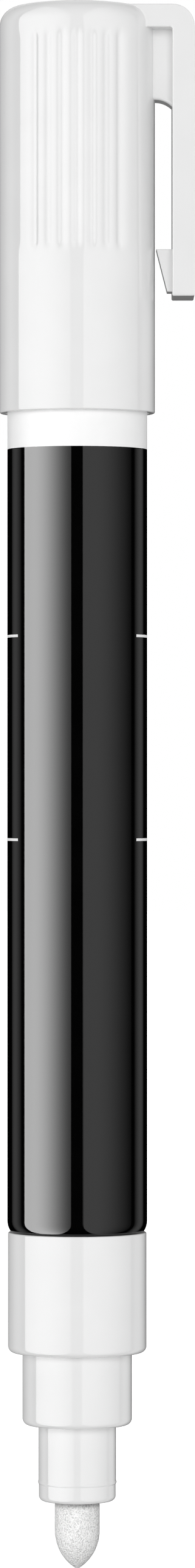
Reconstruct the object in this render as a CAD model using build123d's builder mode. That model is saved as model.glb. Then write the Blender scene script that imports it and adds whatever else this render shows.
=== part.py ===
from build123d import *
import os
from math import cos, sin, sqrt, tau

# A valve-fed liquid chalk marker standing on its nib, with the cap posted on its tail.
# Millimetres. Z is the marker's axis, nib down. The pocket clip is on the +X side.
# The origin is on the axis, halfway along the straight outer wall of the barrel.

# Barrel
barrel_radius = 6.75
barrel_wall = 1.0
exposed_length = 78.9
front_round_height = 1.1
front_round_inset = 0.38
shoulder_depth = 0.1
tail_step = 0.2
tail_length = 17.0
tail_end_wall = 1.2
tail_end_round = 1.2
reservoir_end_round = 1.0

# Front section: collar, step, nose tube and the spigot that plugs the barrel
collar_inset = 0.07
collar_length = 11.58
collar_rear_round = 0.15
collar_front_round = 0.6
collar_ledge = 1.4
step_length = 6.98
step_round = 0.62
step_wall = 1.4
step_floor = 1.4
step_ledge = 1.54
nose_length = 7.34
nose_tip_inset = 0.03
nose_end_round = 0.53
bead_height = 0.05
bead_half_width = 0.2
bead_to_tip = 1.82
spigot_length = 9.0
spigot_wall = 1.0
spigot_lead = 0.4
snap_height = 0.2
snap_half_width = 0.6
snap_to_seat = 3.0
valve_ledge = 0.5

# Nib
nib_radius = 2.17
nib_reach = 6.54
nib_length = 24.0
nib_point_length = 3.65
nib_tip_radius = 0.45

# Valve
nib_stroke = 1.5
rod_radius = 1.3
flow_gap = 0.45
valve_seat_thickness = 2.0
seat_cone_depth = 0.6
head_rim = 0.6
head_margin = 0.3
pin_radius = 0.8
pin_engagement = 1.4
spring_mean_radius = 1.95
spring_wire_radius = 0.22
spring_turns = 8
cage_flange = 1.5
cage_height = 12.5
cage_plate = 1.2
cage_leg_thickness = 0.75
cage_leg_width = 1.6
cage_leg_count = 4
guide_wall = 0.5

# Mixing ball
ball_radius = 3.0

# Cap
cap_wall = 0.77
cap_length = 39.55
cap_top_wall = 1.6
cap_corner_round = 1.86
cap_crown_radius = 38.0
cap_mouth_round = 0.15
cap_mouth_lead = 0.25
cap_inside_round = 1.0
inner_cap_wall = 1.0
inner_cap_end_wall = 1.2
inner_cap_lead = 0.4
inner_cap_end_round = 0.5
cap_rib_count = 8
cap_rib_thickness = 0.9

# Grip flutes, one group on the front of the cap and one on the back
flute_count = 7
flute_pitch_angle = 11.1
flute_cutter_radius = 1.3
flute_depth = 0.16
flute_length = 20.9
flute_below_top = 3.3

# Pocket clip, moulded with the cap
clip_gap = 1.64
clip_thickness = 2.14
clip_drop = 0.49
clip_bridge = 2.2
clip_length = 27.94
clip_root_width = 7.2
clip_end_width = 6.2
clip_corner_round = 2.1
clip_edge_round = 0.14
web_thickness = 3.3
web_height = 6.77
web_arch_drop = 0.67
wedge_width = 2.8
wedge_height = 4.09
wedge_above_end = 0.52
wedge_tip_gap = 0.12
wedge_foot_gap = 1.17

# Clearances
cap_clearance = 0.05
cap_depth_clearance = 0.4
inner_cap_clearance = 0.03
inner_cap_stop = 0.47
spigot_clearance = 0.03
nib_clearance = 0.05
valve_clearance = 0.03
seal_clearance = 0.05
push_clearance = 0.05
guide_clearance = 0.08
cage_clearance = 0.3
spring_clearance = 0.05
pin_top_clearance = 0.3
ball_clearance = 0.3

# Radii that follow from the sizes above
tail_radius = barrel_radius - tail_step
reservoir_radius = barrel_radius - barrel_wall
collar_radius = barrel_radius - collar_inset
spigot_radius = reservoir_radius - spigot_clearance
step_radius = collar_radius - collar_ledge
chamber_radius = step_radius - step_wall
nose_radius = step_radius - step_ledge
nose_tip_radius = nose_radius - nose_tip_inset
bead_radius = nose_radius + bead_height
nib_bore_radius = nib_radius + nib_clearance
pocket_radius = spigot_radius - spigot_wall
ledge_radius = pocket_radius - valve_ledge
seat_hole_radius = rod_radius + flow_gap
head_radius = spring_mean_radius + spring_wire_radius + head_margin
guide_radius = pin_radius + guide_clearance
boss_radius = guide_radius + guide_wall
cage_inner_radius = head_radius + cage_clearance
cage_outer_radius = cage_inner_radius + cage_leg_thickness
cap_bore_radius = collar_radius + cap_clearance
cap_grip_radius = tail_radius + cap_clearance
cap_radius = cap_bore_radius + cap_wall
inner_cap_bore_radius = bead_radius + inner_cap_clearance
inner_cap_radius = inner_cap_bore_radius + inner_cap_wall
cap_rib_radius = inner_cap_radius + inner_cap_clearance
clip_inner_x = cap_radius + clip_gap
clip_outer_x = clip_inner_x + clip_thickness

# Levels along the axis
seat_z = -(front_round_height + exposed_length + shoulder_depth) / 2
wall_start_z = seat_z + front_round_height
cap_mouth_z = seat_z + exposed_length
shoulder_z = cap_mouth_z + shoulder_depth
tail_end_z = cap_mouth_z + tail_length
reservoir_end_z = tail_end_z - tail_end_wall
snap_z = seat_z + snap_to_seat
spigot_end_z = seat_z + spigot_length
ledge_z = spigot_end_z - cage_flange - valve_seat_thickness
seat_top_z = ledge_z + valve_seat_thickness
collar_front_z = seat_z - collar_length
step_front_z = collar_front_z - step_length
chamber_front_z = step_front_z + step_floor
nose_front_z = step_front_z - nose_length
bead_z = nose_front_z + bead_to_tip
nib_tip_z = nose_front_z - nib_reach
nib_rear_z = nib_tip_z + nib_length
rod_front_z = nib_rear_z + push_clearance
head_cone_z = seat_top_z - seat_cone_depth - flow_gap + seal_clearance
head_rim_z = head_cone_z + head_radius - rod_radius
head_top_z = head_rim_z + head_rim
cage_top_z = seat_top_z + cage_height
cage_plate_z = cage_top_z - cage_plate
pin_top_z = cage_top_z - nib_stroke - pin_top_clearance
guide_foot_z = pin_top_z - pin_engagement
ball_z = cage_top_z + ball_clearance + ball_radius
cap_top_z = cap_mouth_z + cap_length
cap_inside_top_z = cap_top_z - cap_top_wall
cap_grip_z = cap_mouth_z + collar_length + cap_depth_clearance
inner_cap_mouth_z = cap_mouth_z + collar_length + step_length + inner_cap_stop
inner_cap_top_z = cap_inside_top_z - inner_cap_clearance
flute_top_z = cap_top_z - flute_below_top
flute_foot_z = flute_top_z - flute_length
clip_top_z = cap_top_z - clip_drop
bridge_under_z = clip_top_z - clip_bridge
clip_end_z = clip_top_z - clip_length
web_foot_z = bridge_under_z - web_height
wedge_foot_z = clip_end_z + wedge_above_end
wedge_top_z = wedge_foot_z + wedge_height

SAME = 0.001


def rings(part, radius, z):
    """Round edges of a turned part, found by their radius and level."""
    found = part.edges().filter_by(GeomType.CIRCLE)
    return found.filter_by(lambda e: abs(e.radius - radius) < SAME and abs(e.center().Z - z) < SAME)


# Barrel: a tube closed at the tail, with a rounded front edge and a snap groove inside
with BuildPart() as barrel:
    with BuildSketch(Plane.XZ):
        with BuildLine():
            Polyline(
                (barrel_radius - front_round_inset, seat_z),
                (0, seat_z),
                (0, tail_end_z),
                (tail_radius, tail_end_z),
                (tail_radius, shoulder_z),
                (barrel_radius, shoulder_z),
                (barrel_radius, wall_start_z),
            )
            TangentArc(
                (barrel_radius, wall_start_z),
                (barrel_radius - front_round_inset, seat_z),
                tangent=(0, -1),
            )
        make_face()
    revolve(axis=Axis.Z)
    fillet(rings(barrel, tail_radius, tail_end_z), tail_end_round)
    with BuildSketch(Plane.XZ):
        with BuildLine():
            Polyline(
                (0, seat_z),
                (reservoir_radius, seat_z),
                (reservoir_radius, snap_z - snap_half_width),
                (reservoir_radius + snap_height, snap_z),
                (reservoir_radius, snap_z + snap_half_width),
                (reservoir_radius, reservoir_end_z),
                (0, reservoir_end_z),
                close=True,
            )
        make_face()
    revolve(axis=Axis.Z, mode=Mode.SUBTRACT)
    fillet(rings(barrel, reservoir_radius, reservoir_end_z), reservoir_end_round)

# Front section: one moulding, stepped down from the collar to the nose tube
with BuildPart() as front_section:
    with BuildSketch(Plane.XZ):
        with BuildLine():
            Polyline(
                (nose_radius, bead_z + bead_half_width),
                (nose_radius, step_front_z),
                (step_radius, step_front_z),
                (step_radius, collar_front_z),
                (collar_radius, collar_front_z),
                (collar_radius, seat_z),
                (spigot_radius, seat_z),
                (spigot_radius, snap_z - snap_half_width),
                (spigot_radius + snap_height, snap_z),
                (spigot_radius, snap_z + snap_half_width),
                (spigot_radius, spigot_end_z - spigot_lead),
                (spigot_radius - spigot_lead, spigot_end_z),
                (0, spigot_end_z),
                (0, nose_front_z),
                (nose_tip_radius, nose_front_z),
                (nose_tip_radius, bead_z - bead_half_width),
            )
            ThreePointArc(
                (nose_tip_radius, bead_z - bead_half_width),
                (bead_radius, bead_z),
                (nose_radius, bead_z + bead_half_width),
            )
        make_face()
    revolve(axis=Axis.Z)
    fillet(rings(front_section, collar_radius, seat_z), collar_rear_round)
    fillet(rings(front_section, collar_radius, collar_front_z), collar_front_round)
    fillet(rings(front_section, step_radius, step_front_z), step_round)
    fillet(rings(front_section, nose_tip_radius, nose_front_z), nose_end_round)
    with BuildSketch(Plane.XZ):
        with BuildLine():
            Polyline(
                (0, nose_front_z),
                (nib_bore_radius, nose_front_z),
                (nib_bore_radius, chamber_front_z),
                (chamber_radius, chamber_front_z),
                (chamber_radius, collar_front_z),
                (ledge_radius, collar_front_z),
                (ledge_radius, ledge_z),
                (pocket_radius, ledge_z),
                (pocket_radius, spigot_end_z),
                (0, spigot_end_z),
                close=True,
            )
        make_face()
    revolve(axis=Axis.Z, mode=Mode.SUBTRACT)

# Nib: a fibre rod with a rounded ogive point, resting against the valve rod
with BuildPart() as nib:
    shoulder_width = nib_radius - nib_tip_radius
    point_rise = nib_point_length - nib_tip_radius
    ogive_radius = (point_rise**2 + nib_radius**2 - nib_tip_radius**2) / (2 * shoulder_width)
    ogive_base_z = nib_tip_z + nib_point_length
    tip_share = nib_tip_radius / (ogive_radius - nib_tip_radius)
    tip_join = (
        (ogive_radius - nib_radius) * tip_share,
        nib_tip_z + nib_tip_radius - point_rise * tip_share,
    )
    with BuildSketch(Plane.XZ):
        with BuildLine():
            Polyline(
                (0, nib_tip_z),
                (0, nib_rear_z),
                (nib_radius, nib_rear_z),
                (nib_radius, ogive_base_z),
            )
            side = TangentArc((nib_radius, ogive_base_z), tip_join, tangent=(0, -1))
            TangentArc(tip_join, (0, nib_tip_z), tangent=side % 1)
        make_face()
    revolve(axis=Axis.Z)

# Valve seat: a disc in the spigot's pocket, with a conical hole for the stem's head
with BuildPart() as valve_seat:
    with BuildSketch(Plane.XZ):
        with BuildLine():
            Polyline(
                (seat_hole_radius, ledge_z),
                (pocket_radius - valve_clearance, ledge_z),
                (pocket_radius - valve_clearance, seat_top_z),
                (seat_hole_radius + seat_cone_depth, seat_top_z),
                (seat_hole_radius, seat_top_z - seat_cone_depth),
                close=True,
            )
        make_face()
    revolve(axis=Axis.Z)

# Valve stem: push rod, conical head and the pin that the cage guides
with BuildPart() as valve_stem:
    with BuildSketch(Plane.XZ):
        with BuildLine():
            Polyline(
                (0, rod_front_z),
                (rod_radius, rod_front_z),
                (rod_radius, head_cone_z),
                (head_radius, head_rim_z),
                (head_radius, head_top_z),
                (pin_radius, head_top_z),
                (pin_radius, pin_top_z),
                (0, pin_top_z),
                close=True,
            )
        make_face()
    revolve(axis=Axis.Z)

# Valve cage: a flange on the seat, legs with ink windows between them, and a guided end plate
with BuildPart() as valve_cage:
    with BuildSketch(Plane.XY.offset(seat_top_z)):
        Circle(pocket_radius - valve_clearance)
        Circle(cage_inner_radius, mode=Mode.SUBTRACT)
    extrude(amount=cage_flange)
    with BuildSketch(Plane.XY.offset(cage_plate_z)):
        Circle(cage_outer_radius)
    extrude(amount=cage_plate)
    with BuildSketch(Plane.XY.offset(guide_foot_z)):
        Circle(boss_radius)
    extrude(amount=cage_plate_z - guide_foot_z)
    with BuildSketch(Plane.XY.offset(seat_top_z)):
        Circle(cage_outer_radius)
        Circle(cage_inner_radius, mode=Mode.SUBTRACT)
        with BuildSketch(mode=Mode.INTERSECT):
            with PolarLocations(0, cage_leg_count // 2, angular_range=180):
                Rectangle(2 * cage_outer_radius, cage_leg_width)
    extrude(amount=cage_height)
    with Locations((0, 0, cage_top_z)):
        Hole(guide_radius)

# Valve spring: one wire wound between the stem's head and the cage's end plate
spring_foot_z = head_top_z + spring_wire_radius + spring_clearance
spring_head_z = cage_plate_z - spring_wire_radius - spring_clearance
spring_rise = (spring_head_z - spring_foot_z) / spring_turns
QUARTERS = 4
STEPS = 24


def spring_point(turn):
    """Centre of the wire after some turns from its lower end."""
    return Vector(
        spring_mean_radius * cos(tau * turn),
        spring_mean_radius * sin(tau * turn),
        spring_foot_z + spring_rise * turn,
    )


def spring_tangent(turn):
    """Direction of the wire after some turns from its lower end."""
    around = tau * spring_mean_radius
    return Vector(-around * sin(tau * turn), around * cos(tau * turn), spring_rise).normalized()


def biarc_join(start, end, start_tangent, end_tangent):
    """Where two tangent arcs of equal handles meet between two points."""
    across = end - start
    both = start_tangent + end_tangent
    bend = 2 * (1 - start_tangent.dot(end_tangent))
    reach = across.dot(both)
    handle = (sqrt(reach**2 + bend * across.dot(across)) - reach) / bend
    return (start + start_tangent * handle + end - end_tangent * handle) * 0.5


with BuildPart() as valve_spring:
    with BuildLine() as wire_path:
        for quarter in range(spring_turns * QUARTERS):
            start, end = quarter / QUARTERS, (quarter + 1) / QUARTERS
            middle = biarc_join(
                spring_point(start), spring_point(end), spring_tangent(start), spring_tangent(end)
            )
            first = TangentArc(spring_point(start), middle, tangent=spring_tangent(start))
            TangentArc(middle, spring_point(end), tangent=first % 1)
    with BuildSketch(Plane(spring_point(0), z_dir=spring_tangent(0))):
        Circle(spring_wire_radius)
    sweep(path=wire_path.line)

turn_points = [spring_point(step / STEPS) for step in range(STEPS * spring_turns + 1)]
least_gap = min(
    (turn_points[i] - turn_points[k]).length - 2 * spring_wire_radius
    for i in range(len(turn_points))
    for k in range(i + STEPS // 2, len(turn_points))
)
print(f"spring: least gap between turns {least_gap:.2f} mm")

# Mixing ball, loose in the reservoir, at rest on the valve cage
with BuildPart() as mixing_ball:
    with Locations((0, 0, ball_z)):
        Sphere(ball_radius)

# Pocket clip: side outline crossed with a tapering front outline, then its web and wedge
with BuildPart() as clip:
    with BuildSketch(Plane.XZ) as clip_side:
        with BuildLine():
            Polyline(
                (0, bridge_under_z),
                (clip_inner_x, bridge_under_z),
                (clip_inner_x, clip_end_z),
                (clip_outer_x, clip_end_z),
                (clip_outer_x, clip_top_z),
                (0, clip_top_z),
                close=True,
            )
        make_face()
        fillet(clip_side.vertices().group_by(Axis.X)[-1].sort_by(Axis.Y)[-1], clip_corner_round)
    extrude(amount=clip_root_width / 2, both=True)
    with BuildSketch(Plane.YZ):
        with BuildLine():
            Polyline(
                (-clip_root_width / 2, clip_top_z),
                (-clip_end_width / 2, clip_end_z),
                (clip_end_width / 2, clip_end_z),
                (clip_root_width / 2, clip_top_z),
                close=True,
            )
        make_face()
    extrude(amount=clip_outer_x, mode=Mode.INTERSECT)
    fillet(clip.faces().sort_by(Axis.X)[-1].edges().sort_by(Axis.Z)[:-1], clip_edge_round)
    with BuildSketch(Plane.XZ):
        with BuildLine():
            Polyline(
                (clip_inner_x, web_foot_z - web_arch_drop),
                (clip_inner_x + clip_thickness / 2, web_foot_z - web_arch_drop),
                (clip_inner_x + clip_thickness / 2, bridge_under_z + clip_bridge / 2),
                (0, bridge_under_z + clip_bridge / 2),
                (0, web_foot_z),
                (cap_radius, web_foot_z),
            )
            TangentArc(
                (cap_radius, web_foot_z),
                (clip_inner_x, web_foot_z - web_arch_drop),
                tangent=(1, 0),
            )
        make_face()
    extrude(amount=web_thickness / 2, both=True)
    with BuildSketch(Plane.XZ):
        with BuildLine():
            Polyline(
                (cap_radius + wedge_tip_gap, wedge_top_z),
                (cap_radius + wedge_foot_gap, wedge_foot_z),
                (clip_inner_x + clip_thickness / 2, wedge_foot_z),
                (clip_inner_x + clip_thickness / 2, wedge_top_z),
                close=True,
            )
        make_face()
    extrude(amount=wedge_width / 2, both=True)

# Cap: crowned shell with the clip, hollowed out, then ribbed inside and fluted outside
with BuildPart() as cap:
    corner_reach = cap_radius - cap_corner_round
    crown_span = cap_crown_radius - cap_corner_round
    corner_rise = sqrt(crown_span**2 - corner_reach**2)
    corner_z = cap_top_z - cap_crown_radius + corner_rise
    crown_join = (
        corner_reach + cap_corner_round * corner_reach / crown_span,
        corner_z + cap_corner_round * corner_rise / crown_span,
    )
    with BuildSketch(Plane.XZ):
        with BuildLine():
            Polyline((0, cap_top_z), (0, cap_mouth_z), (cap_radius, cap_mouth_z), (cap_radius, corner_z))
            corner = TangentArc((cap_radius, corner_z), crown_join, tangent=(0, 1))
            TangentArc(crown_join, (0, cap_top_z), tangent=corner % 1)
        make_face()
    revolve(axis=Axis.Z)
    fillet(rings(cap, cap_radius, cap_mouth_z), cap_mouth_round)
    add(clip.part)
    with BuildSketch(Plane.XZ) as hollow:
        with BuildLine():
            Polyline(
                (0, cap_mouth_z),
                (cap_bore_radius + cap_mouth_lead, cap_mouth_z),
                (cap_bore_radius, cap_mouth_z + cap_mouth_lead),
                (cap_bore_radius, cap_grip_z),
                (cap_grip_radius, cap_grip_z + cap_bore_radius - cap_grip_radius),
                (cap_grip_radius, cap_inside_top_z),
                (0, cap_inside_top_z),
                close=True,
            )
        make_face()
        fillet(hollow.vertices().group_by(Axis.Y)[-1].sort_by(Axis.X)[-1], cap_inside_round)
    revolve(axis=Axis.Z, mode=Mode.SUBTRACT)
    with BuildSketch(Plane.XY.offset(inner_cap_mouth_z)):
        with PolarLocations((cap_rib_radius + cap_grip_radius + cap_wall / 2) / 2, cap_rib_count):
            Rectangle(cap_grip_radius + cap_wall / 2 - cap_rib_radius, cap_rib_thickness)
    extrude(amount=cap_inside_top_z - inner_cap_mouth_z)
    flute_spread = (flute_count - 1) * flute_pitch_angle
    for side_angle in (-90, 90):
        flutes = PolarLocations(
            cap_radius + flute_cutter_radius - flute_depth,
            flute_count,
            start_angle=side_angle - flute_spread / 2,
            angular_range=flute_spread,
            endpoint=True,
        )
        with BuildSketch(Plane.XY.offset(flute_foot_z + flute_cutter_radius)):
            with flutes:
                Circle(flute_cutter_radius)
        extrude(amount=flute_length - 2 * flute_cutter_radius, mode=Mode.SUBTRACT)
        for end_z in (flute_foot_z + flute_cutter_radius, flute_top_z - flute_cutter_radius):
            with Locations((0, 0, end_z)):
                with flutes:
                    Sphere(flute_cutter_radius, mode=Mode.SUBTRACT)

# Inner cap: a cup inside the cap that seals the nose tube when the marker is closed
with BuildPart() as inner_cap:
    with BuildSketch(Plane.XZ):
        with BuildLine():
            Polyline(
                (inner_cap_bore_radius + inner_cap_lead, inner_cap_mouth_z),
                (inner_cap_radius, inner_cap_mouth_z),
                (inner_cap_radius, inner_cap_top_z),
                (0, inner_cap_top_z),
                (0, inner_cap_top_z - inner_cap_end_wall),
                (inner_cap_bore_radius, inner_cap_top_z - inner_cap_end_wall),
                (inner_cap_bore_radius, inner_cap_mouth_z + inner_cap_lead),
                close=True,
            )
        make_face()
    revolve(axis=Axis.Z)
    fillet(rings(inner_cap, inner_cap_radius, inner_cap_top_z), inner_cap_end_round)

pieces = {
    "barrel": barrel,
    "front_section": front_section,
    "nib": nib,
    "valve_seat": valve_seat,
    "valve_stem": valve_stem,
    "valve_cage": valve_cage,
    "valve_spring": valve_spring,
    "mixing_ball": mixing_ball,
    "cap": cap,
    "inner_cap": inner_cap,
}
os.makedirs("parts", exist_ok=True)
for name, piece in pieces.items():
    piece.part.label = name
    export_step(piece.part, f"parts/{name}.step")
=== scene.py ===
"""Liquid chalk marker: its pieces, their materials, the studio and the camera."""
from math import atan, atan2, ceil, cos, degrees, hypot, pi, radians, sin, sqrt, tan, tau

import bpy
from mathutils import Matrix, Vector, noise


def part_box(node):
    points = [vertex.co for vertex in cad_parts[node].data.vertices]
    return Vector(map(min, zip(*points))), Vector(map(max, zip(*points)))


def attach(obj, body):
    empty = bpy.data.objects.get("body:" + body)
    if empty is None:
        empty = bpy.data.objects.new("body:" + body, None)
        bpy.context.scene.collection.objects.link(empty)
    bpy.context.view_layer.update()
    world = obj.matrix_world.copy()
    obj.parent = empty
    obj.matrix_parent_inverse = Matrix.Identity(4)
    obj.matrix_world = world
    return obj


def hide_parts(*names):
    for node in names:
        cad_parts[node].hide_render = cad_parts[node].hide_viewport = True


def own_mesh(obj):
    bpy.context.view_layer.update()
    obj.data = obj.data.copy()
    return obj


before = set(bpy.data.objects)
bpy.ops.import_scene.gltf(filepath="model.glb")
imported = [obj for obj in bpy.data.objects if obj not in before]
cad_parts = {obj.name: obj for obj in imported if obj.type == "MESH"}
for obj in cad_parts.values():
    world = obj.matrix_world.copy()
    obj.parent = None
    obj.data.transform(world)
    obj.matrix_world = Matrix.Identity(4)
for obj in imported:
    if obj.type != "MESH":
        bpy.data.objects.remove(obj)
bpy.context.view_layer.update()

# Sizes are millimetres and angles are degrees. The main sizes come from the frame, and the rest are
# named here. The studio, further down, is in metres.
MM = 0.001


def node_box(node):
    """Lowest and highest corner of a CAD node, in millimetres."""
    low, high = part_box(node)
    return low / MM, high / MM


barrel_low, barrel_high = node_box("barrel")
front_low, front_high = node_box("front_section")
nib_low, nib_high = node_box("nib")
cap_low, cap_high = node_box("cap")
inner_cap_low, inner_cap_high = node_box("inner_cap")
spring_low, spring_high = node_box("valve_spring")

# Barrel and its print
barrel_radius = barrel_high.x
barrel_wall = 1.0
front_round_height = 1.1
front_round_inset = 0.38
shoulder_above_mouth = 0.1
tail_step = 0.2
tail_end_wall = 1.2
tail_end_round = 1.2
reservoir_end_round = 1.0
band_height = 3.49
tick_levels = (17.34, -2.21)
tick_thickness = 0.25
tick_half_angle = 32.5

# Front section
collar_radius = front_high.x
collar_length = 11.58
collar_rear_round = 0.15
collar_front_round = 0.6
collar_ledge = 1.4
step_length = 6.98
step_round = 0.62
step_ledge = 1.54
step_wall = 1.4
step_floor = 1.4
nose_tip_inset = 0.03
nose_end_round = 0.53
bead_height = 0.05
bead_half_width = 0.2
bead_to_tip = 1.82
bead_steps = 8
spigot_clearance = 0.03
spigot_wall = 1.0
spigot_lead = 0.4
snap_height = 0.2
snap_half_width = 0.6
snap_to_seat = 3.0
valve_ledge = 0.5
valve_stack = 3.5
ledge_round = 0.12

# Nib: its shape, the grain of its skin, then its material
nib_radius = nib_high.x
nib_point_length = 3.65
nib_tip_radius = 0.45
nib_clearance = 0.05
nib_side_steps = 40
nib_shaft_steps = 160
fibre_depth = 0.015
fibre_stretch = 0.5
fibre_coarse = 4.1
fibre_fine = 9.3
fibre_fine_share = 0.6
fibre_mean = 0.5
pore_scale = 8500
pore_stretch = (1, 1, 0.75)
pore_edges = (0.33, 0.56)
pore_tone = 0.56
fibre_tone = 0.99
fibre_warmth = 0.003
fibre_rough = (0.3, 0.5)
core_relief = 0.13
coat_relief = 0.22
coat_ior = 1.85
coat_rough = 0.07
# Painted shade on the nib below the nose: how far it reaches and how dark it gets
nib_painted_shade_height = 0.75
nib_painted_shade_level = 0.2

# Valve spring
spring_turns = 8
spring_wire_radius = 0.22
spring_turn_steps = 40
spring_wire_sides = 12

# Cap
cap_radius = cap_high.y
cap_wall = 0.77
cap_grip_wall = 0.9
cap_grip_above_mouth = 11.98
cap_top_wall = 1.6
cap_corner_round = 1.86
cap_crown_radius = 38.0
cap_mouth_round = 0.15
cap_mouth_lead = 0.25
cap_inside_round = 1.0
cap_rib_count = 8
cap_rib_thickness = 0.9
cap_rib_sink = 0.4
inner_cap_wall = 1.0
inner_cap_end_wall = 1.2
inner_cap_lead = 0.4
inner_cap_end_round = 0.5
inner_cap_clearance = 0.03

# Grip flutes: the pitch is an angle, slopes are rise over run, reaches are shares of half the pitch
flute_side_count = 3
flute_pitch = 11.1
flute_slope = 0.492
flute_bottom_share = 0.342
flute_length = 22.2
flute_below_top = 2.65
flute_end_length = 1.5
flute_end_steps = 12
flute_side_reach = 3.36
flute_side_slope = 0.726
flute_side_power = 4.13
flute_rim_slope = 0.126

# Pocket clip
clip_gap = 1.64
clip_outer_x = cap_high.x
clip_drop = 0.49
clip_bridge = 2.2
clip_length = 27.94
clip_root_width = 7.2
clip_end_width = 6.2
clip_corner_round = 2.1
clip_inside_round = 0.2
clip_edge_round = 0.14
clip_end_round = 0.15
clip_foot_round = 0.2
clip_sink = 0.5
clip_root_reach = 1.0
clip_root_steps = 8
clip_columns = 16
web_thickness = 3.3
web_height = 6.77
web_arch_drop = 0.67
web_edge_round = 0.3
wedge_width = 2.8
wedge_height = 4.09
wedge_above_end = 0.52
wedge_tip_gap = 0.12
wedge_foot_gap = 1.17
wedge_edge_round = 0.13
junction_round = 0.18
junction_thin = 0.1
junction_taper = 2
junction_sink = 0.1
junction_steps = 24
junction_arc_steps = 6

# Levels along the axis
seat_z = barrel_low.z
tail_end_z = barrel_high.z
cap_mouth_z = cap_low.z
cap_top_z = cap_high.z
shoulder_z = cap_mouth_z + shoulder_above_mouth
band_z = shoulder_z - shoulder_above_mouth - band_height
clip_top_z = cap_top_z - clip_drop
bridge_under_z = clip_top_z - clip_bridge
clip_end_z = clip_top_z - clip_length
web_foot_z = bridge_under_z - web_height
wedge_foot_z = clip_end_z + wedge_above_end
flute_top_z = cap_top_z - flute_below_top
flute_foot_z = flute_top_z - flute_length

# Sizes that follow from others
crown_z = cap_top_z - cap_crown_radius
corner_reach = cap_radius - cap_corner_round
corner_rise = sqrt((cap_crown_radius - cap_corner_round) ** 2 - corner_reach**2)
corner_z = crown_z + corner_rise
clip_inner_x = cap_radius + clip_gap
flute_half_width = radians(flute_pitch / 2) * cap_radius
flute_depth = flute_slope * flute_half_width / 2

# Fineness of the meshes. A straight run longer than LONG_RUN supports gets a point near each end, and
# LEAST_LEAN keeps the sharp corners of an inset outline close.
SEGMENTS = 720
INSIDE_SEGMENTS = 180
NIB_SEGMENTS = 240
STUDIO_SEGMENTS = 96
ARC_STEP = 9.0
EDGE_STEPS = 4
CROWN_STEPS = 10
SUPPORT = 0.12
LONG_RUN = 3
LEAST_LEAN = 0.3
FOOT_FADE = 1.5
SHARP = 32.0
TINY = 1e-6

# Noise in the materials: its detail, the range that holds most of it, and fine over broad scale
NOISE_DETAIL = 3.0
NOISE_LOW = 0.3
NOISE_HIGH = 0.7
FINE_OVER_BROAD = 12


# Outlines


def arc(centre_a, centre_b, radius, start, end):
    """Points on an arc, from one angle to another in degrees."""
    steps = max(2, ceil(abs(end - start) / ARC_STEP))
    angles = [radians(start + (end - start) * k / steps) for k in range(steps + 1)]
    return [(centre_a + radius * cos(t), centre_b + radius * sin(t)) for t in angles]


def rounded(*corners):
    """Open outline through (a, b) points, where (a, b, radius) is a corner rounded by an arc."""
    outline = []
    for n, corner in enumerate(corners):
        at = Vector(corner[:2])
        if len(corner) == 2:
            outline.append(tuple(at))
            continue
        before = (Vector(corners[n - 1][:2]) - at).normalized()
        after = (Vector(corners[(n + 1) % len(corners)][:2]) - at).normalized()
        half = before.angle(after) / 2
        centre = at + (before + after).normalized() * (corner[2] / sin(half))
        reach = corner[2] / tan(half)
        first = at + before * reach - centre
        last = at + after * reach - centre
        start = degrees(atan2(first.y, first.x))
        turn = (degrees(atan2(last.y, last.x)) - start + 180) % 360 - 180
        outline += arc(centre.x, centre.y, corner[2], start, start + turn)
    return outline


def supported(outline, closed, near=SUPPORT):
    """The outline with a point close to each end of its long straight runs, to keep shading even."""
    result = []
    ends = outline[1:] + (outline[:1] if closed else [])
    for start, end in zip(outline, ends):
        start, end = Vector(start), Vector(end)
        run = end - start
        result.append(tuple(start))
        if run.length > LONG_RUN * near:
            result.append(tuple(start + run.normalized() * near))
            result.append(tuple(end - run.normalized() * near))
    if not closed:
        result.append(outline[-1])
    return result


def inset(outline, depth):
    """The closed outline moved inwards, which is to its left."""
    moved = []
    for n, point in enumerate(outline):
        at = Vector(point)
        before = (at - Vector(outline[n - 1])).normalized()
        after = (Vector(outline[(n + 1) % len(outline)]) - at).normalized()
        left = Vector((-before.y - after.y, before.x + after.x)).normalized()
        lean = max(left.dot(Vector((-before.y, before.x))), LEAST_LEAN)
        moved.append(tuple(at + left * (depth / lean)))
    return moved


# Meshes


def mesh_object(name, points, faces, body=None, node=None):
    """A smooth-shaded object made of points in millimetres, which may ride on a body."""
    mesh = bpy.data.meshes.new(name)
    mesh.from_pydata([(x * MM, y * MM, z * MM) for x, y, z in points], [], faces)
    mesh.polygons.foreach_set("use_smooth", [True] * len(faces))
    mesh.update()
    mesh.set_sharp_from_angle(angle=radians(SHARP))
    obj = bpy.data.objects.new(name, mesh)
    bpy.context.scene.collection.objects.link(obj)
    if body:
        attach(obj, body)
    if node:
        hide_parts(node)
    return obj


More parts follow.
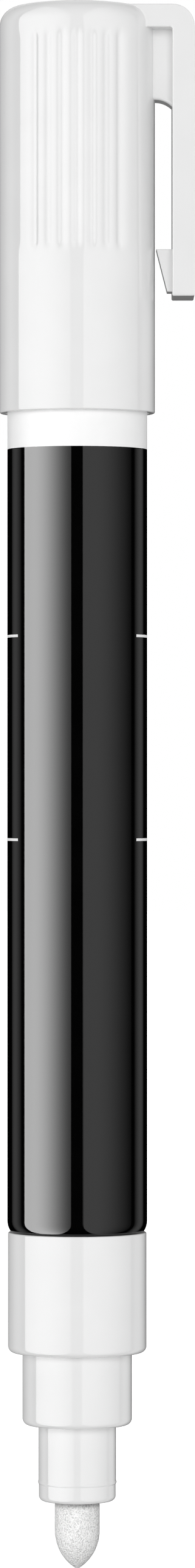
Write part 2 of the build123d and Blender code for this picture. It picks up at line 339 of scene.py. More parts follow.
class Shell:
    """Points and faces of one piece, collected from its parts."""

    def __init__(self):
        self.points = []
        self.faces = []
        self.plates = []

    def ring(self, points):
        """Add a row of points and return their numbers."""
        first = len(self.points)
        self.points += points
        return list(range(first, len(self.points)))

    def bridge(self, low, high):
        """Faces between two closed rows. A row of one point is a pole."""
        count = max(len(low), len(high))
        if count == 1:
            return
        for k in range(count):
            a, b = k, (k + 1) % count
            if len(low) == 1:
                self.faces.append((low[0], high[b], high[a]))
            elif len(high) == 1:
                self.faces.append((low[a], low[b], high[0]))
            else:
                self.faces.append((low[a], low[b], high[b], high[a]))

    def column(self, rows):
        """Faces along closed rows, and over the first and the last."""
        for low, high in zip(rows, rows[1:]):
            self.bridge(low, high)
        self.faces.append(tuple(reversed(rows[0])))
        self.faces.append(tuple(rows[-1]))

    def turn(self, profile, segments, closed=True, reshape=None):
        """Turn a profile of (radius, level) points about Z, outside upwards."""
        rows = []
        for radius, z in supported(profile, closed):
            if radius < TINY:
                rows.append(self.ring([(0, 0, z)]))
                continue
            row = []
            for k in range(segments):
                angle = tau * k / segments
                r = reshape(radius, z, angle) if reshape else radius
                row.append((r * cos(angle), r * sin(angle), z))
            rows.append(self.ring(row))
        for low, high in zip(rows, rows[1:] + (rows[:1] if closed else [])):
            self.bridge(low, high)

    def slab(self, outline, half_width, edge_round, across=1, end_x=None, foot=0):
        """A plate with a closed (x, z) outline, rounded at the edges of both faces.

        half_width(z) is half its thickness along Y. end_x(x, y, z) may move points of its root.
        across is the number of strips between its faces, and foot is how much longer the rounding is
        along the lowest edge.
        """
        foot_z = min(z for x, z in outline)
        outline = supported(outline, True, 2 * edge_round)
        edge = []
        for k in range(EDGE_STEPS + 1):
            turn = radians(90 - 90 * k / EDGE_STEPS)
            edge.append((1, edge_round * (1 - sin(turn)), edge_round * (1 - cos(turn))))
        edge.append((1, edge_round + SUPPORT, 0))
        flat = [(1 - 2 * k / across, edge_round + SUPPORT, 0) for k in range(1, across)]
        rows = edge + flat + [(-share, depth, narrow) for share, depth, narrow in reversed(edge)]
        numbers = []
        for share, depth, narrow in rows:
            row = []
            for x, z in inset(outline, narrow):
                z += foot * narrow / edge_round * max(1 - (z - foot_z) / FOOT_FADE, 0)
                y = share * (half_width(z) - depth)
                row.append((end_x(x, y, z) if end_x else x, y, z))
            numbers.append(self.ring(row))
        self.column(numbers)
        self.plates += [len(self.faces) - 2, len(self.faces) - 1]

    def object(self, name, body, node, slot, *materials):
        """The finished piece. The flat faces of its plates stay flat-shaded."""
        obj = mesh_object(name, self.points, self.faces, body, node)
        for made in materials:
            obj.data.materials.append(made)
        for number in self.plates:
            obj.data.polygons[number].use_smooth = False
        return obj


# Materials


def new_material(name):
    """An empty node material, its tree and output, and a function that adds linked nodes."""
    made = bpy.data.materials.new(name)
    made.use_nodes = True
    tree = made.node_tree
    tree.nodes.clear()
    output = tree.nodes.new("ShaderNodeOutputMaterial")

    def add(kind, **values):
        node = tree.nodes.new(kind)
        for key, value in values.items():
            key = key.replace("_", " ")
            if isinstance(value, bpy.types.NodeSocket):
                tree.links.new(value, node.inputs[key])
            else:
                node.inputs[key].default_value = value
        return node

    return made, tree, output, add


def grain(tree, add, scale, stretch=(1, 1, 1)):
    """Noise over the object, drawn out along an axis by a stretch below one and squeezed by one above."""
    place = tree.nodes.new("ShaderNodeTexCoord").outputs["Object"]
    mapped = add("ShaderNodeMapping", Vector=place, Scale=stretch)
    cloud = add("ShaderNodeTexNoise", Vector=mapped.outputs[0], Scale=scale, Detail=NOISE_DETAIL)
    return cloud.outputs[0]


def set_range(node, *numbers):
    """Set the two ends of what a range node reads, then the two ends of what it gives."""
    for key, number in zip(("From Min", "From Max", "To Min", "To Max"), numbers):
        node.inputs[key].default_value = number


def spread(add, value, low, high):
    """The usual range of a noise spread from low to high."""
    node = add("ShaderNodeMapRange", Value=value)
    set_range(node, NOISE_LOW, NOISE_HIGH, low, high)
    return node.outputs[0]


def shades(tree, value, dark, light, low=NOISE_LOW, high=NOISE_HIGH):
    """A colour between two, chosen by a value from low to high."""
    ramp = tree.nodes.new("ShaderNodeValToRGB")
    ramp.color_ramp.elements[0].position = low
    ramp.color_ramp.elements[0].color = (*dark, 1)
    ramp.color_ramp.elements[1].position = high
    ramp.color_ramp.elements[1].color = (*light, 1)
    tree.links.new(value, ramp.inputs[0])
    return ramp.outputs[0]


def surface(name, dark, light, rough, scale, bump, depth, fine=None, stretch=(1, 1, 1), **sockets):
    """A surface whose colour varies by a broad noise, and its roughness and bump by a fine one."""
    made, tree, output, add = new_material(name)
    broad = grain(tree, add, scale, stretch=stretch)
    small = grain(tree, add, fine or scale * FINE_OVER_BROAD, stretch=stretch)
    raised = add("ShaderNodeBump", Strength=bump, Distance=depth * MM, Height=small)
    shader = add(
        "ShaderNodeBsdfPrincipled",
        Base_Color=shades(tree, broad, dark, light),
        Roughness=spread(add, small, *rough),
        Normal=raised.outputs[0],
        **sockets,
    )
    tree.links.new(shader.outputs[0], output.inputs[0])
    return made


def tone(level, warm=0.0):
    """A grey, a little warm or cool."""
    return (level * (1 + warm), level, level * (1 - warm))


def gloss_black():
    """Polished black moulding."""
    return surface(
        "gloss_black", tone(0.0012), tone(0.002),
        rough=(0.03, 0.05), scale=260, fine=2600, bump=0.02, depth=0.01, IOR=1.65,
    )


def gloss_white():
    """Polished white moulding."""
    return surface(
        "gloss_white", tone(0.845), tone(0.865),
        rough=(0.015, 0.035), scale=220, fine=2400, bump=0.02, depth=0.01, IOR=1.5,
    )


def print_white():
    """Screen-printed white ink, matt and a little mottled."""
    return surface(
        "print_white", tone(0.95), tone(0.97),
        rough=(0.42, 0.60), scale=900, fine=9000, bump=0.10, depth=0.01, IOR=1.4,
    )


def nib_fibre():
    """Bonded fibre: a pale core with fine pores and glossy fibre ends, with painted shade close to the
    nose that stands in for the nose's shadow.
    """
    made, tree, output, add = new_material("nib_fibre")
    pores = grain(tree, add, pore_scale, stretch=pore_stretch)
    soft = add("ShaderNodeBump", Strength=1.0, Distance=core_relief * MM, Height=pores)
    hard = add("ShaderNodeBump", Strength=1.0, Distance=coat_relief * MM, Height=pores)
    place = tree.nodes.new("ShaderNodeTexCoord").outputs["Object"]
    level = add("ShaderNodeSeparateXYZ", Vector=place).outputs["Z"]
    # Painted shade: the colour is scaled darker towards the nose, standing in for the nose's shadow on the
    # nib.
    ring = add("ShaderNodeMapRange", Value=level)
    ring.interpolation_type = "SMOOTHSTEP"
    painted_shade_foot = (front_low.z - nib_painted_shade_height) * MM
    painted_shade_top = front_low.z * MM
    set_range(ring, painted_shade_foot, painted_shade_top, 1.0, nib_painted_shade_level)
    dark, light = tone(pore_tone, fibre_warmth), tone(fibre_tone, fibre_warmth)
    shaded = add("ShaderNodeVectorMath", Vector=shades(tree, pores, dark, light, *pore_edges))
    shaded.operation = "SCALE"
    tree.links.new(ring.outputs[0], shaded.inputs["Scale"])
    shader = add(
        "ShaderNodeBsdfPrincipled",
        Base_Color=shaded.outputs[0],
        Roughness=spread(add, pores, *fibre_rough),
        Normal=soft.outputs[0],
        Coat_Weight=1.0,
        Coat_IOR=coat_ior,
        Coat_Roughness=coat_rough,
        Coat_Normal=hard.outputs[0],
    )
    tree.links.new(shader.outputs[0], output.inputs[0])
    return made


def seal_plastic():
    """Soft white seal, slightly waxy."""
    return surface(
        "seal_plastic", tone(0.79, -0.006), tone(0.84, -0.006),
        rough=(0.34, 0.46), scale=400, bump=0.06, depth=0.02, IOR=1.5,
    )


def valve_plastic():
    """Natural white moulding, matt."""
    return surface(
        "valve_plastic", tone(0.74, -0.006), tone(0.80, -0.006),
        rough=(0.40, 0.52), scale=500, bump=0.08, depth=0.02, IOR=1.5,
    )


def spring_steel():
    """Drawn wire with fine lines along it."""
    return surface(
        "spring_steel", tone(0.55), tone(0.64),
        rough=(0.22, 0.36), scale=1800, bump=0.12, depth=0.01, stretch=(1, 1, 6), Metallic=1.0,
    )


def ball_steel():
    """Polished ball with faint scuffs."""
    return surface(
        "ball_steel", tone(0.64), tone(0.72),
        rough=(0.06, 0.14), scale=700, fine=5200, bump=0.05, depth=0.01, Metallic=1.0,
    )


# Barrel


def barrel_profile():
    """Outer wall upwards from the front, over the closed tail and back down the reservoir."""
    round_radius = (front_round_height**2 + front_round_inset**2) / (2 * front_round_inset)
    round_angle = degrees(atan2(front_round_height, round_radius - front_round_inset))
    reservoir = barrel_radius - barrel_wall
    front = arc(barrel_radius - round_radius, seat_z + front_round_height, round_radius, -round_angle, 0)
    prints = [(barrel_radius, band_z)]
    for level in tick_levels:
        for edge in (tick_thickness / 2, -tick_thickness / 2):
            prints.append((barrel_radius, level + edge))
    rest = rounded(
        (barrel_radius, shoulder_z),
        (barrel_radius - tail_step, shoulder_z),
        (barrel_radius - tail_step, tail_end_z, tail_end_round),
        (0, tail_end_z),
        (0, tail_end_z - tail_end_wall),
        (reservoir, tail_end_z - tail_end_wall, reservoir_end_round),
        (reservoir, seat_z),
    )
    return front + prints[::-1] + rest


def printed(middle):
    """Whether a point of the barrel's outside carries print."""
    if hypot(middle.x, middle.y) < (barrel_radius - tail_step / 2) * MM:
        return False
    level = middle.z / MM
    if band_z < level < shoulder_z:
        return True
    on_tick = any(abs(level - tick) < tick_thickness / 2 for tick in tick_levels)
    angle = abs(degrees(atan2(middle.y, middle.x)))
    return on_tick and min(angle, 180 - angle) < tick_half_angle


def make_barrel():
    """Black tube with its white band and side ticks as print."""
    shell = Shell()
    shell.turn(barrel_profile(), SEGMENTS)
    obj = shell.object("barrel_skin", "marker_body", "barrel", "black_gloss", gloss_black(), print_white())
    for face in obj.data.polygons:
        face.material_index = 1 if printed(face.center) else 0


# Front section


def front_profile():
    """Outside upwards from the nose to the spigot, then down the bores."""
    nose_front = front_low.z
    spigot_end = front_high.z
    collar_front = seat_z - collar_length
    step_front = collar_front - step_length
    step_radius = collar_radius - collar_ledge
    nose_radius = step_radius - step_ledge
    nose_tip = nose_radius - nose_tip_inset
    bead_z = nose_front + bead_to_tip
    nib_bore = nib_radius + nib_clearance
    chamber = step_radius - step_wall
    spigot = barrel_radius - barrel_wall - spigot_clearance
    pocket = spigot - spigot_wall
    ledge = pocket - valve_ledge
    ledge_z = spigot_end - valve_stack
    snap_z = seat_z + snap_to_seat
    bead = []
    for k in range(bead_steps + 1):
        share = k / bead_steps
        foot = nose_tip + (nose_radius - nose_tip) * share
        swell = (nose_radius + bead_height - foot) * sin(pi * share)
        bead.append((foot + swell, bead_z + bead_half_width * (2 * share - 1)))
    outside = rounded(
        (nib_bore, nose_front),
        (nose_tip, nose_front, nose_end_round),
        *bead,
        (nose_radius, step_front, ledge_round),
        (step_radius, step_front, step_round),
        (step_radius, collar_front, ledge_round),
        (collar_radius, collar_front, collar_front_round),
        (collar_radius, seat_z, collar_rear_round),
        (spigot, seat_z),
        (spigot, snap_z - snap_half_width),
        (spigot + snap_height, snap_z),
        (spigot, snap_z + snap_half_width),
        (spigot, spigot_end - spigot_lead),
        (spigot - spigot_lead, spigot_end),
    )
    bores = [
        (pocket, spigot_end),
        (pocket, ledge_z),
        (ledge, ledge_z),
        (ledge, collar_front),
        (chamber, collar_front),
        (chamber, step_front + step_floor),
        (nib_bore, step_front + step_floor),
    ]
    return outside + bores


def make_front_section(white):
    """Collar, step and nose tube in one white moulding."""
    shell = Shell()
    shell.turn(front_profile(), SEGMENTS)
    return shell.object("front_section_skin", "marker_body", "front_section", "white_gloss", white)


# Nib


def fibre(radius, z, angle):
    """The nib's radius, roughened inwards by its fibres."""
    at = Vector((radius * cos(angle), radius * sin(angle), fibre_stretch * z))
    pores = noise.noise(at * fibre_coarse) + fibre_fine_share * noise.noise(at * fibre_fine)
    return radius - fibre_depth * min(max(fibre_mean + pores, 0), 1) * min(1, radius / nib_tip_radius)


def make_nib():
    """Bullet of bonded fibre with a grainy skin."""
    tip_z = nib_low.z
    shoulder = nib_radius - nib_tip_radius
    rise = nib_point_length - nib_tip_radius
    ogive = (rise**2 + nib_radius**2 - nib_tip_radius**2) / (2 * shoulder)
    base_z = tip_z + nib_point_length
    lean = degrees(atan2(rise, ogive - nib_radius))
    point = arc(0, tip_z + nib_tip_radius, nib_tip_radius, -90, -lean)[:-1]
    side = []
    for k in range(nib_side_steps + 1):
        turn = radians(lean * (k / nib_side_steps - 1))
        side.append((nib_radius - ogive + ogive * cos(turn), base_z + ogive * sin(turn)))
    shaft = []
    for k in range(1, nib_shaft_steps + 1):
        shaft.append((nib_radius, base_z + (nib_high.z - base_z) * k / nib_shaft_steps))
    profile = point + side + shaft + [(0, nib_high.z)]
    shell = Shell()
    shell.turn(profile, NIB_SEGMENTS, closed=False, reshape=fibre)
    return shell.object("nib_skin", "nib", "nib", "nib_fibre", nib_fibre())


# Cap


def groove(share):
    """Depth of a flute across its width, as a share of the deepest: 1 in the middle, 0 at 1."""
    share = abs(share)
    if share >= 1:
        return 0
    if share <= flute_bottom_share:
        return 1 - share**2 / flute_bottom_share
    return (1 - share) ** 2 / (1 - flute_bottom_share)


def flank(share):
    """Depth outside an outermost flute: a steep side that ends in a low, broad rim."""
    if share >= flute_side_reach:
        return 0
    run = flute_side_reach - flute_bottom_share
    left = (flute_side_reach - max(share, flute_bottom_share)) / run
    depth = run * (flute_side_slope * left ** (flute_side_power + 1) / (flute_side_power + 1))
    depth -= run * flute_rim_slope * left**2 / 2
    if share < flute_bottom_share:
        rise = (flute_side_slope - flute_rim_slope) / (2 * flute_bottom_share)
        depth += rise * (flute_bottom_share**2 - share**2)
    return depth * flute_half_width


def flute_cut(angle, z):
    """How deep the grip flutes are at a point of the cap's wall."""
    beyond = max(z - (flute_top_z - flute_end_length), flute_foot_z + flute_end_length - z, 0)
    fade = groove(beyond / flute_end_length)
    if fade == 0:
        return 0
    offset = (degrees(angle) % 180) - 90
    nearest = max(-flute_side_count, min(flute_side_count, round(offset / flute_pitch)))
    share = (offset - nearest * flute_pitch) / (flute_pitch / 2)
    if abs(nearest) == flute_side_count and share * nearest > 0:
        return fade * flank(abs(share))
    return fade * (flank(0) - flute_depth * (1 - groove(share)))


def cap_outside():
    """Outer profile of the cap from the foot of its flutes to the middle of its crown."""
    join = degrees(atan2(corner_rise, corner_reach))
    rows = []
    for start in (flute_foot_z, flute_top_z - flute_end_length):
        for k in range(flute_end_steps + 1):
            rows.append((cap_radius, start + flute_end_length * k / flute_end_steps))
    corner = arc(corner_reach, corner_z, cap_corner_round, 0, join)
    crown = []
    for k in range(1, CROWN_STEPS + 1):
        turn = radians(join + (90 - join) * k / CROWN_STEPS)
        crown.append((cap_crown_radius * cos(turn), crown_z + cap_crown_radius * sin(turn)))
    crown[-1] = (0, cap_top_z)
    return rows + corner + crown


def cap_surface(z):
    """Radius of the cap's plain outside at a level under its crown."""
    if z <= corner_z:
        return cap_radius
    return corner_reach + sqrt(cap_corner_round**2 - (z - corner_z) ** 2)


def cap_profile():
    """Outside upwards from the mouth, then down the inside."""
    bore = cap_radius - cap_wall
    grip = cap_radius - cap_grip_wall
    grip_z = cap_mouth_z + cap_grip_above_mouth
    inside_top = cap_top_z - cap_top_wall
    mouth = rounded(
        (bore + cap_mouth_lead, cap_mouth_z),
        (cap_radius, cap_mouth_z, cap_mouth_round),
        (cap_radius, flute_foot_z),
    )[:-1]
    inside = rounded(
        (0, inside_top),
        (grip, inside_top, cap_inside_round),
        (grip, grip_z + bore - grip),
        (bore, grip_z),
        (bore, cap_mouth_z + cap_mouth_lead),
    )
    return mouth + cap_outside() + inside


def fluted(radius, z, angle):
    """The cap's radius, less its flutes on the outer wall."""
    if radius < cap_radius - TINY:
        return radius
    return radius - flute_cut(angle, z)


def add_ribs(shell):
    """Ribs inside the cap that hold the inner cap."""
    inner = inner_cap_high.x + inner_cap_clearance
    outer = cap_radius - cap_grip_wall + cap_rib_sink
    half = cap_rib_thickness / 2
    low, high = inner_cap_low.z, cap_top_z - cap_top_wall + cap_rib_sink
    for k in range(cap_rib_count):
        angle = tau * k / cap_rib_count
        rows = []
        for z in (low, low + SUPPORT, high):
            lead = SUPPORT if z == low else 0
            corners = ((inner + lead, -half), (outer, -half), (outer, half), (inner + lead, half))
            turned = []
            for a, b in corners:
                turned.append((a * cos(angle) - b * sin(angle), a * sin(angle) + b * cos(angle), z))
            rows.append(shell.ring(turned))
        shell.column(rows)


def clip_half_width(z):
    """Half the clip's width, which tapers towards its end."""
    share = (clip_top_z - z) / clip_length
    return (clip_root_width + (clip_end_width - clip_root_width) * share) / 2


def add_clip(shell):
    """Bridge and arm of the pocket clip in one bent plate, then its web and wedge."""
    root_x = 0

    def rooted(x, y, z):
        """Points of the root end, moved into the cap's wall."""
        if x > root_x + clip_root_reach:
            return x
        return sqrt(max((cap_surface(z) - clip_sink) ** 2 - y**2, 0)) + x - root_x

    arm = rounded(
        (root_x, bridge_under_z),
        (clip_inner_x, bridge_under_z, clip_inside_round),
        (clip_inner_x, clip_end_z, clip_end_round),
        (clip_outer_x, clip_end_z, clip_end_round),
        (clip_outer_x, clip_top_z, clip_corner_round),
        (root_x, clip_top_z),
    )
    for k in range(1, clip_root_steps):
        arm.append((root_x, clip_top_z + (bridge_under_z - clip_top_z) * k / clip_root_steps))
    shell.slab(arm, clip_half_width, clip_edge_round, clip_columns, rooted, clip_foot_round)
    sunk_x = cap_radius - clip_sink
    arm_x = clip_inner_x + clip_sink
    arch_width = clip_inner_x - cap_radius
    arch_radius = (arch_width**2 + web_arch_drop**2) / (2 * web_arch_drop)
    arch_turn = degrees(atan2(arch_width, arch_radius - web_arch_drop))
    arch = arc(cap_radius, web_foot_z - arch_radius, arch_radius, 90, 90 - arch_turn)
    web = [(sunk_x, web_foot_z)] + arch + [
        (arm_x, web_foot_z - web_arch_drop),
        (arm_x, bridge_under_z + clip_sink),
        (sunk_x, bridge_under_z + clip_sink),
    ]
    shell.slab(web, lambda z: web_thickness / 2, web_edge_round)
    wedge = [
        (cap_radius + wedge_foot_gap, wedge_foot_z),
        (arm_x, wedge_foot_z),
        (arm_x, wedge_foot_z + wedge_height),
        (cap_radius + wedge_tip_gap, wedge_foot_z + wedge_height),
    ]
    shell.slab(wedge, lambda z: wedge_width / 2, wedge_edge_round)


def add_junction(shell, points, first_normals, second_normals, radii):
    """A hollow fillet along the line where two surfaces meet."""
    rows = []
    for point, one, two, radius in zip(points, first_normals, second_normals, radii):
        one, two = Vector(one).normalized(), Vector(two).normalized()
        centre = Vector(point) + (one + two) * (radius / (1 + one.dot(two)))
        row = []
        for k in range(junction_arc_steps + 1):
            toward = one.slerp(two, k / junction_arc_steps)
            row.append(tuple(centre - toward * radius))
        row.append(tuple(Vector(point) - (one + two) * junction_sink))
        rows.append(shell.ring(row))
    shell.column(rows)


def add_junctions(shell):
    """Fillets where the bridge's sides meet the rounded shoulder of the cap, thinner near the top."""
    steps = junction_steps
    for side in (-1, 1):
        line, faces, walls, radii = [], [], [], []
        for k in range(steps + 1):
            z = bridge_under_z + (clip_top_z - bridge_under_z) * k / steps
            y = side * clip_half_width(z)
            radius = cap_surface(z)
            x = sqrt(radius**2 - y**2)
            outward = max(z - corner_z, 0) / cap_corner_round
            level = sqrt(1 - outward**2)
            line.append((x, y, z))
            faces.append((0, side, 0))
            walls.append((level * x / radius, level * y / radius, outward))
            share = junction_thin + (1 - junction_thin) * (steps - k) / steps * junction_taper
            radii.append(junction_round * min(1, share))
        if side > 0:
            line, faces, walls, radii = line[::-1], faces[::-1], walls[::-1], radii[::-1]
        add_junction(shell, line, faces, walls, radii)


def make_cap(white):
    """Fluted shell, its inner ribs and its pocket clip."""
    shell = Shell()
    shell.turn(cap_profile(), SEGMENTS, reshape=fluted)
    add_ribs(shell)
    add_clip(shell)
    add_junctions(shell)
    return shell.object("cap_shell", "cap", "cap", "white_gloss", white)


def make_inner_cap(seal):
    """Cup inside the cap that seals the nose."""
    radius = inner_cap_high.x
    bore = radius - inner_cap_wall
    mouth, top = inner_cap_low.z, inner_cap_high.z
    profile = rounded(
        (bore + inner_cap_lead, mouth),
        (radius, mouth, ledge_round),
        (radius, top, inner_cap_end_round),
        (0, top),
        (0, top - inner_cap_end_wall),
        (bore, top - inner_cap_end_wall),
        (bore, mouth + inner_cap_lead),
    )
    shell = Shell()
    shell.turn(profile, INSIDE_SEGMENTS)
    return shell.object("inner_cap_cup", "cap", "inner_cap", "seal_plastic", seal)


# Valve


def make_spring():
    """One wire wound between the stem's head and the cage, at its rest length; in the marker it shortens
    as the valve lifts.
    """
    mean = spring_high.x - spring_wire_radius
    foot = spring_low.z + spring_wire_radius
    rise = (spring_high.z - spring_low.z - 2 * spring_wire_radius) / spring_turns
    lean = atan2(rise, tau * mean)
    shell = Shell()
    rows = []
    for k in range(spring_turns * spring_turn_steps + 1):
        angle = tau * k / spring_turn_steps
        outward = Vector((cos(angle), sin(angle), 0))
        upward = Vector((sin(angle) * sin(lean), -cos(angle) * sin(lean), cos(lean)))
        centre = outward * mean + Vector((0, 0, foot + rise * k / spring_turn_steps))
        row = []
        for n in range(spring_wire_sides):
            turn = tau * n / spring_wire_sides
            row.append(tuple(centre + spring_wire_radius * (outward * cos(turn) + upward * sin(turn))))
        rows.append(shell.ring(row))
    shell.column(rows[::-1])
    obj = shell.object("valve_spring_wire", "marker_body", "valve_spring", "spring_steel", spring_steel())
    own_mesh(obj)


def dress_node(node, made):
    """Give a CAD node that keeps its own shape a material."""
    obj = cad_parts[node]
    obj.data.materials.clear()
    obj.data.materials.append(made)


# Studio, in metres and degrees. A pair is where a rise or a fall begins and ends.

drum_radius = 0.7
drum_gap = 0.01
drum_column_step = 0.5
drum_row_step = 1.5
drum_low_rows = 50
wall_radius = 0.75
wall_rise = 0.75
floor_radius = 3.0
floor_tone = 0.8
floor_speckle = 0.01
floor_grain = 40
floor_glow = 0.75
key_place = Vector((0.0, -1.30, 0.20))
key_size = 0.9
key_power = 8.27

# Light from all sides, and the share of its length that a direction rises by where the light fades
ambient = 0.76
ambient_above = 0.4
ambient_below = 0.55
ambient_fade = (0.42, 0.62)

# Softboxes: how far to each side they reach, and the curves of their upper and lower edges. Height
# and slope are shares of the distance, and box_curve is a power.
left_box = (9.6, 97)
right_box = (9, 101)
box_height = 2.14
box_slope = 2.6
box_lift = 6.3
box_lean = 8.0
box_lean_rise = (46, 64)
box_depth = 60.0
box_middle = 57.0
box_half = 47.0
box_curve = 2.5

# Glow in the black pieces: the boxes, and a strip further back on each side
dark_left_glow = 0.62
dark_left_gain = 6.0
dark_left_rise = (6, 71)
dark_left_loss = 0.15
dark_left_fall = (72, 97)
dark_right_glow = 0.75
dark_right_fall = (28, 113)
strip_left = 104
strip_right = 108
strip_width = 34
strip_glow = 0.32
strip_fall = (30, 50)

# Glow in the white pieces: the boxes, the ceiling, the room behind on each side, and its sweep above
pale_left_glow = 0.2
pale_left_gain = 3.6
pale_left_peak = 70
pale_left_loss = 0.5
pale_left_fall = (15, 60)
pale_right_glow = 1.4
pale_right_loss = 0.8
pale_right_fall = (35, 105)
ceiling_glow = 0.2
ceiling_rise = (26, 50)
back_glow = 0.82
back_depth = 57.0
back_left_rise = (99, 116)
back_left_loss = 0.5
back_left_fall = (121, 141)
back_end_loss = 0.42
back_end_fall = (163, 174)
back_right_rise = (101, 118)
back_right_loss = 0.97
back_right_fall = (122, 156)
sweep_glow = 0.55
sweep_gain = 0.42
sweep_rise = (150, 178)
sweep_side_rise = (105, 135)
sweep_foot_rise = (14, 25)
sweep_top_fall = (60, 78)


def smooth(span, value):
    """0 before a span, 1 after it and a smooth rise between."""
    low, high = span
    share = min(max((value - low) / (high - low), 0), 1)
    return share * share * (3 - 2 * share)


def in_box(side, elevation):
    """Whether a direction meets a softbox, between its upper edge and its rounded lower one."""
    if elevation < 0:
        share = min(abs(side - box_middle) / box_half, 1)
        return -elevation < box_depth * (1 - share**box_curve) ** (1 / box_curve)
    end = degrees(atan(min(box_slope * sin(radians(side)), box_height)))
    return elevation < end + box_lift * cos(radians(end))


def box_side(azimuth, lean=0):
    """Which softbox an azimuth falls within, if any. Lean widens the boxes towards the back."""
    near, far = left_box if azimuth < 0 else right_box
    if not near < abs(azimuth) < far + lean:
        return None
    return "left" if azimuth < 0 else "right"


def dark_room_glow(azimuth, elevation):
    """Brightness of the studio in the black pieces, by degrees to the right of the camera and up."""
    side = abs(azimuth)
    strip = strip_left if azimuth < 0 else strip_right
    if strip < side < strip + strip_width:
        glow = strip_glow * sin(pi * (side - strip) / strip_width)
        return glow * (1 - smooth(strip_fall, abs(elevation)))
    box = box_side(azimuth)
    if box is None or not in_box(side, elevation):
        return 0
    if box == "left":
        glow = dark_left_glow + dark_left_gain * smooth(dark_left_rise, side)
        return glow * (1 - dark_left_loss * smooth(dark_left_fall, side))
    return dark_right_glow * (1 - smooth(dark_right_fall, side))


def pale_room_glow(azimuth, elevation):
    """Brightness of the studio in the white pieces, where the boxes look more even."""
    side = abs(azimuth)
    above = ceiling_glow * smooth(ceiling_rise, elevation)
    box = box_side(azimuth, box_lean * smooth(box_lean_rise, elevation))
    if box and not in_box(side, elevation):
        return above
    if box == "left":
        gain = pale_left_gain * sin(pi / 2 * min(side, left_box[1]) / pale_left_peak)
        return pale_left_glow + gain * (1 - pale_left_loss * smooth(pale_left_fall, elevation))
    if box == "right":
        return pale_right_glow - pale_right_loss * smooth(pale_right_fall, side)
    if elevation < -back_depth:
        return 0
    if azimuth < 0:
        kept = 1 - back_left_loss * smooth(back_left_fall, side)
        kept -= back_end_loss * smooth(back_end_fall, side)
        glow = back_glow * smooth(back_left_rise, side) * kept
    else:
        kept = 1 - back_right_loss * smooth(back_right_fall, side)
        glow = back_glow * smooth(back_right_rise, side) * kept
    sweep = sweep_glow + sweep_gain * smooth(sweep_rise, side)
    share = smooth(sweep_side_rise, side) * smooth(sweep_foot_rise, elevation)
    share *= 1 - smooth(sweep_top_fall, elevation)
    return max(glow + (sweep - glow) * share, above)


def show_only_to(obj, *kinds):
    """Hide an object from every kind of ray but these."""
    for kind in ("camera", "diffuse", "glossy", "transmission", "volume_scatter", "shadow"):
        setattr(obj, "visible_" + kind, kind in kinds)


def joined(tree, kind, *sockets):
    """What a node of some kind gives when these sockets are its inputs, in order."""
    node = tree.nodes.new(kind)
    for number, socket in enumerate(sockets):
        tree.links.new(socket, node.inputs[number])
    return node.outputs[0]


def studio_ring(radius):
    """Points round the axis in millimetres, from a radius in metres."""
    angles = [tau * k / STUDIO_SEGMENTS for k in range(STUDIO_SEGMENTS)]
    return [(radius * cos(angle) / MM, radius * sin(angle) / MM) for angle in angles]


def make_drum(name, radius, glow, lit):
    """Softboxes and dark gaps round the marker: a clear globe that only reflections in some pieces see."""
    columns = [-180 + drum_column_step * k for k in range(int(360 / drum_column_step) + 1)]
    low_rows = [-90 + drum_row_step * k for k in range(drum_low_rows)]
    rows = low_rows + [0.0] + [-row for row in reversed(low_rows)]
    points, faces, values = [], [], []
    for azimuth in columns:
        angle = radians(azimuth - 90)
        for elevation in rows:
            level, out = sin(radians(elevation)), cos(radians(elevation))
            place = Vector((out * cos(angle), out * sin(angle), level)) * (radius / MM)
            points.append(tuple(place))
            values.append(glow(azimuth, elevation))
    count = len(rows)
    for k in range(len(columns) - 1):
        for n in range(count - 1):
            a, b = k * count + n, (k + 1) * count + n
            faces.append((a, a + 1, b + 1, b))
    obj = mesh_object(name, points, faces)
    obj.data.attributes.new("glow", "FLOAT", "POINT").data.foreach_set("value", values)
    made, tree, output, add = new_material(name)
    reader = tree.nodes.new("ShaderNodeAttribute")
    reader.attribute_name = "glow"
    light = add("ShaderNodeEmission", Strength=reader.outputs["Fac"])
    clear = tree.nodes.new("ShaderNodeBsdfTransparent")
    both = joined(tree, "ShaderNodeAddShader", light.outputs[0], clear.outputs[0])
    tree.links.new(both, output.inputs[0])
    obj.data.materials.append(made)
    show_only_to(obj, "glossy")
    obj.light_linking.receiver_collection = lit


def group(name, pieces, state):
    """Pieces that a drum lights, or leaves out."""
    made = bpy.data.collections.new(name)
    for piece in pieces:
        made.objects.link(piece)
    for entry in made.collection_objects:
        entry.light_linking.link_state = state
    return made


def make_wall():
    """Dark cloth round the drums, which only reflections see."""
    count = STUDIO_SEGMENTS
    points, faces = [], []
    for x, y in studio_ring(wall_radius):
        points += [(x, y, -wall_rise / MM), (x, y, wall_rise / MM)]
    for k in range(count):
        n = (k + 1) % count
        faces.append((2 * k, 2 * k + 1, 2 * n + 1, 2 * n))
    faces.append(tuple(2 * k + 1 for k in range(count)))
    faces.append(tuple(2 * k for k in range(count)))
    obj = mesh_object("studio_cloth", points, faces)
    made, tree, output, add = new_material("studio_cloth")
    cloth = add("ShaderNodeBsdfDiffuse", Color=(0, 0, 0, 1))
    tree.links.new(cloth.outputs[0], output.inputs[0])
    obj.data.materials.append(made)
    show_only_to(obj, "glossy")


def seen_directly(tree):
    """1 for camera, glossy and transmission rays, else 0."""
    path = tree.nodes.new("ShaderNodeLightPath")
    total = path.outputs["Is Camera Ray"]
    for name in ("Is Glossy Ray", "Is Transmission Ray"):
        node = tree.nodes.new("ShaderNodeMath")
        node.operation = "MAXIMUM"
        tree.links.new(total, node.inputs[0])
        tree.links.new(path.outputs[name], node.inputs[1])
        total = node.outputs[0]
    return total


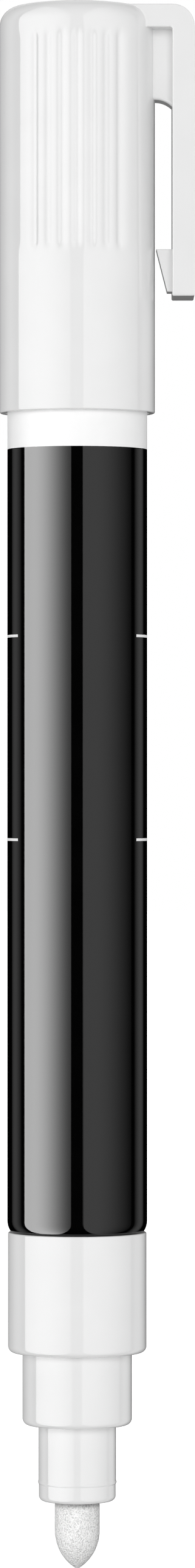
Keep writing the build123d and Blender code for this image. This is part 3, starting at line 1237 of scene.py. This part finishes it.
def make_floor():
    """Pale floor under the nib. It looks white but keeps the marker's shadow."""
    points = [(x, y, nib_low.z) for x, y in studio_ring(floor_radius)]
    obj = mesh_object("studio_floor", points, [tuple(range(STUDIO_SEGMENTS))])
    made, tree, output, add = new_material("floor_white")
    dark, light = tone(floor_tone - floor_speckle), tone(floor_tone)
    speckle = shades(tree, grain(tree, add, floor_grain), dark, light)
    plain = add("ShaderNodeBsdfDiffuse", Color=speckle)
    lift = add("ShaderNodeEmission", Strength=floor_glow)
    both = joined(tree, "ShaderNodeAddShader", plain.outputs[0], lift.outputs[0])
    choice = joined(tree, "ShaderNodeMixShader", seen_directly(tree), plain.outputs[0], both)
    tree.links.new(choice, output.inputs[0])
    obj.data.materials.append(made)
    show_only_to(obj, "camera", "transmission", "shadow")


def make_world():
    """White behind the marker, and soft light on it from all sides, less from above and below."""
    world = bpy.data.worlds.new("studio")
    bpy.context.scene.world = world
    world.use_nodes = True
    tree = world.node_tree
    tree.nodes.clear()
    output = tree.nodes.new("ShaderNodeOutputWorld")
    behind = tree.nodes.new("ShaderNodeBackground")
    behind.inputs["Color"].default_value = (1, 1, 1, 1)
    behind.inputs["Strength"].default_value = 1.0
    axes = tree.nodes.new("ShaderNodeSeparateXYZ")
    tree.links.new(tree.nodes.new("ShaderNodeTexCoord").outputs["Generated"], axes.inputs[0])
    low, high = ambient_fade
    total = tree.nodes.new("ShaderNodeMath")
    total.operation = "ADD"
    steps = ((-high, -low, ambient_below, ambient), (low, high, 0.0, ambient_above - ambient))
    for number, step in enumerate(steps):
        fade = tree.nodes.new("ShaderNodeMapRange")
        fade.interpolation_type = "SMOOTHSTEP"
        set_range(fade, *step)
        tree.links.new(axes.outputs["Z"], fade.inputs["Value"])
        tree.links.new(fade.outputs[0], total.inputs[number])
    walls = tree.nodes.new("ShaderNodeBackground")
    walls.inputs["Color"].default_value = (1, 1, 1, 1)
    tree.links.new(total.outputs[0], walls.inputs["Strength"])
    sources = (walls.outputs[0], behind.outputs[0])
    choice = joined(tree, "ShaderNodeMixShader", seen_directly(tree), *sources)
    tree.links.new(choice, output.inputs[0])


def make_key():
    """One large soft lamp in front, a little above."""
    lamp = bpy.data.lights.new("key", "AREA")
    lamp.shape = "SQUARE"
    lamp.size = key_size
    lamp.energy = key_power
    obj = bpy.data.objects.new("key", lamp)
    bpy.context.scene.collection.objects.link(obj)
    obj.location = key_place
    obj.rotation_euler = (-key_place).to_track_quat("-Z", "Y").to_euler()
    obj.visible_camera = False
    obj.visible_glossy = False


def make_camera():
    """Level camera in front of the marker, as far off as the photo's perspective shows.

    half_frame is half the height that the picture shows at the marker's axis.
    """
    distance, aside, height = 580.0, 1.955, 3.13
    half_frame = 75.59
    sensor = 36.0
    nearest, farthest = 0.01, 50
    data = bpy.data.cameras.new("camera")
    data.sensor_width = sensor
    data.lens = sensor / 2 * distance / half_frame
    data.clip_start = nearest
    data.clip_end = farthest
    camera = bpy.data.objects.new("camera", data)
    bpy.context.scene.collection.objects.link(camera)
    camera.location = (aside * MM, -distance * MM, height * MM)
    camera.rotation_euler = (pi / 2, 0, 0)
    bpy.context.scene.camera = camera


white = gloss_white()
seal = seal_plastic()
valve = valve_plastic()
make_barrel()
pale_pieces = [make_front_section(white), make_nib(), make_cap(white), make_inner_cap(seal)]
make_spring()
dress_node("valve_seat", seal)
dress_node("valve_stem", valve)
dress_node("valve_cage", valve)
dress_node("mixing_ball", ball_steel())
make_drum("studio_pale", drum_radius, pale_room_glow, group("pale", pale_pieces, "INCLUDE"))
make_drum("studio_dark", drum_radius - drum_gap, dark_room_glow, group("not_dark", pale_pieces, "EXCLUDE"))
make_wall()
make_floor()
make_world()
make_key()
make_camera()
bpy.context.scene.view_settings.view_transform = "Standard"
